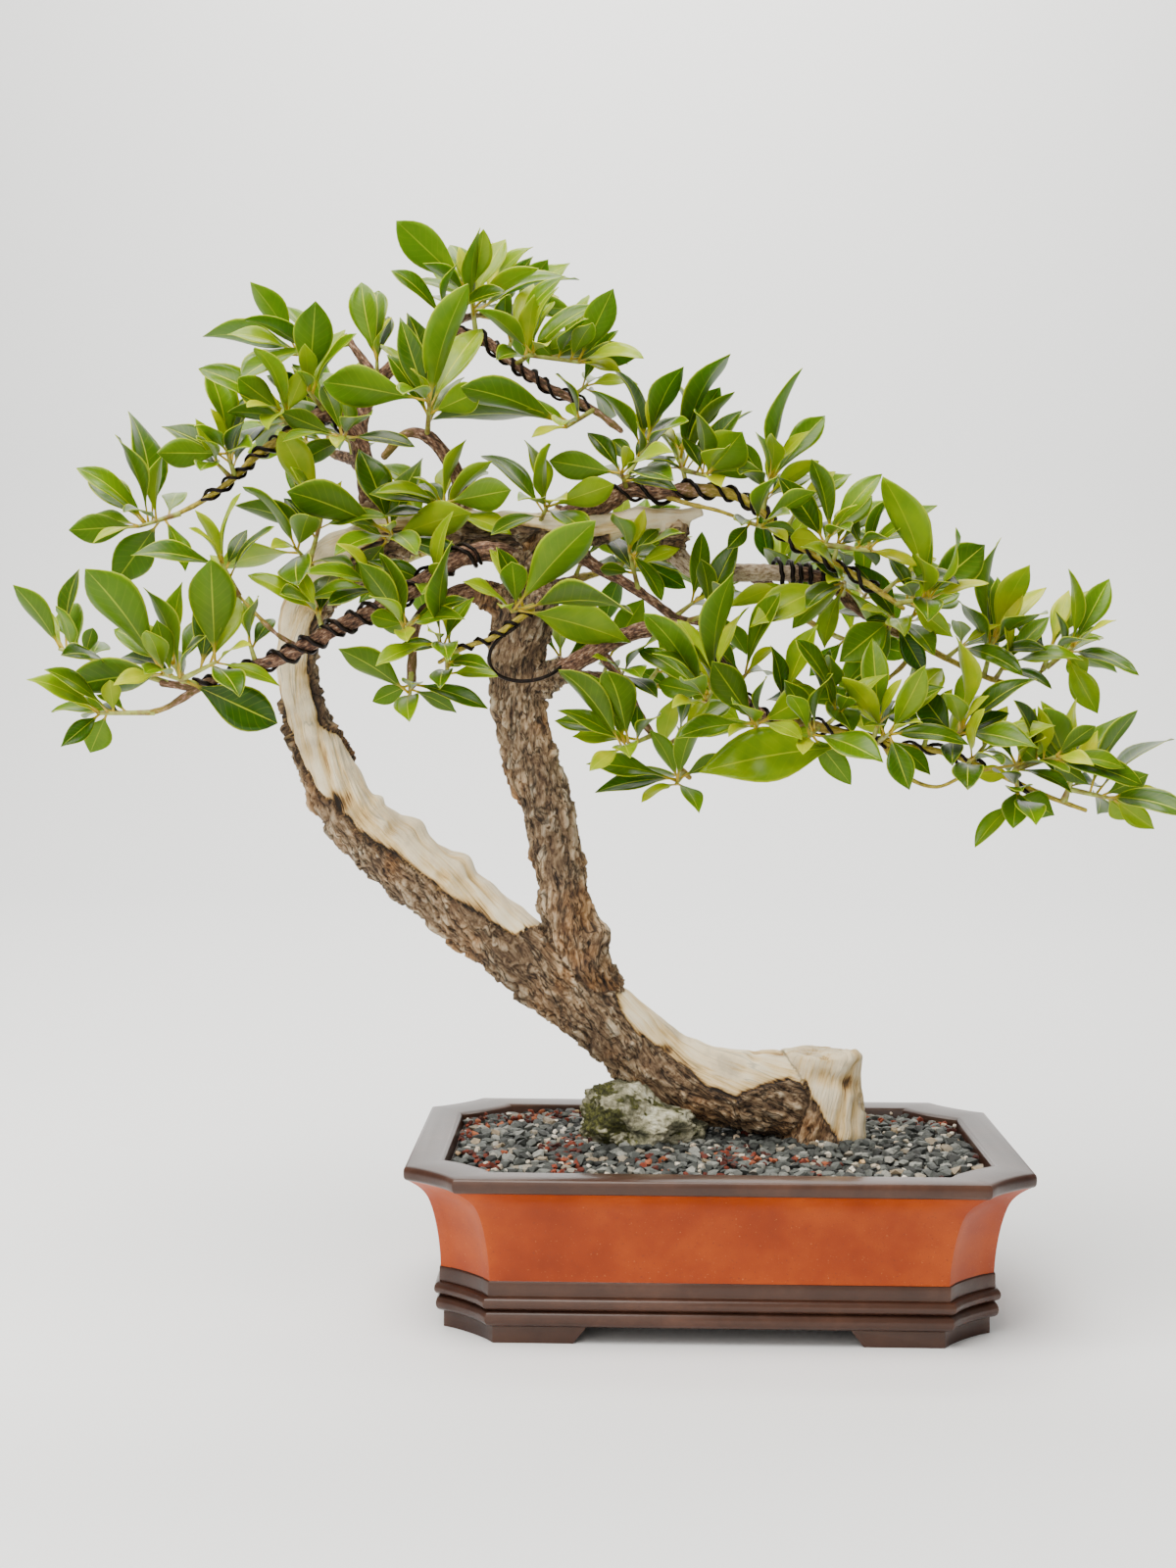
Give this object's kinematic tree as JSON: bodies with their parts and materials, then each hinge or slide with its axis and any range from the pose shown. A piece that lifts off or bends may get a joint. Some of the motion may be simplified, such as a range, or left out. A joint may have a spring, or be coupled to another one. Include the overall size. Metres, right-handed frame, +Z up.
{
  "type": "buttonwood bonsai",
  "caption": "Wired bonsai tree with a bare-wood trunk arching to the left, a long right branch and lance-shaped leaves, in an eight-sided clay tray pot on feet.",
  "frame": {"origin": "middle of the whole part's box at the underside of the pot's feet", "axes": "+Z up, +X towards the long right branch, -Y the side that is looked at"},
  "size_m": [0.7244, 0.2736, 0.6946],
  "materials": {
    "pot_clay": "unglazed brown and orange clay, satin",
    "gravel_soil": "crushed grey lava with red and white grains, matte",
    "mossy_rock": "weathered limestone with moss",
    "bark_and_deadwood": "flaky brown bark and bleached bare wood",
    "training_wire": "brown anodised, satin",
    "leaf": "leathery green leaf, semi-gloss"
  },
  "bodies": {
    "root": {"pot": "pot_clay", "soil": "gravel_soil", "rock": "mossy_rock", "tree": "bark_and_deadwood", "wire_left_low": "training_wire", "wire_left_up": "training_wire", "wire_right_low": "training_wire", "wire_right_middle": "training_wire", "wire_right_up": "training_wire", "wire_top": "training_wire", "leaves_arc_crown": "leaf", "leaves_arc_left": "leaf", "leaves_arc_middle": "leaf", "leaves_arc_shoulder": "leaf", "leaves_back_centre_end": "leaf", "leaves_back_left_end": "leaf", "leaves_back_low_end": "leaf", "leaves_back_middle_end": "leaf", "leaves_back_right_end": "leaf", "leaves_back_top_end": "leaf", "leaves_centre_bright": "leaf", "leaves_centre_fan": "leaf", "leaves_left_low_end": "leaf", "leaves_left_low_fork": "leaf", "leaves_left_middle_end": "leaf", "leaves_left_middle_fan": "leaf", "leaves_left_tip": "leaf", "leaves_left_twig_end": "leaf", "leaves_left_up_end": "leaf", "leaves_left_up_front": "leaf", "leaves_left_up_inner": "leaf", "leaves_left_up_middle": "leaf", "leaves_middle_up_crown": "leaf", "leaves_right_hanging_end": "leaf", "leaves_right_hanging_front": "leaf", "leaves_right_inner_end": "leaf", "leaves_right_inner_far": "leaf", "leaves_right_low_big": "leaf", "leaves_right_low_end": "leaf", "leaves_right_low_fan": "leaf", "leaves_right_low_first": "leaf", "leaves_right_low_fourth": "leaf", "leaves_right_low_second": "leaf", "leaves_right_low_third": "leaf", "leaves_right_middle_bright": "leaf", "leaves_right_middle_end": "leaf", "leaves_right_middle_fan": "leaf", "leaves_right_middle_far": "leaf", "leaves_right_middle_low": "leaf", "leaves_right_up_end": "leaf", "leaves_right_up_fifth": "leaf", "leaves_right_up_first": "leaf", "leaves_right_up_last": "leaf", "leaves_right_up_third": "leaf", "leaves_right_up_twig_end": "leaf", "leaves_top_crown": "leaf", "leaves_top_hanging": "leaf", "leaves_top_left": "leaf", "leaves_top_middle": "leaf", "leaves_upright_front": "leaf"}
  },
  "joints": []
}
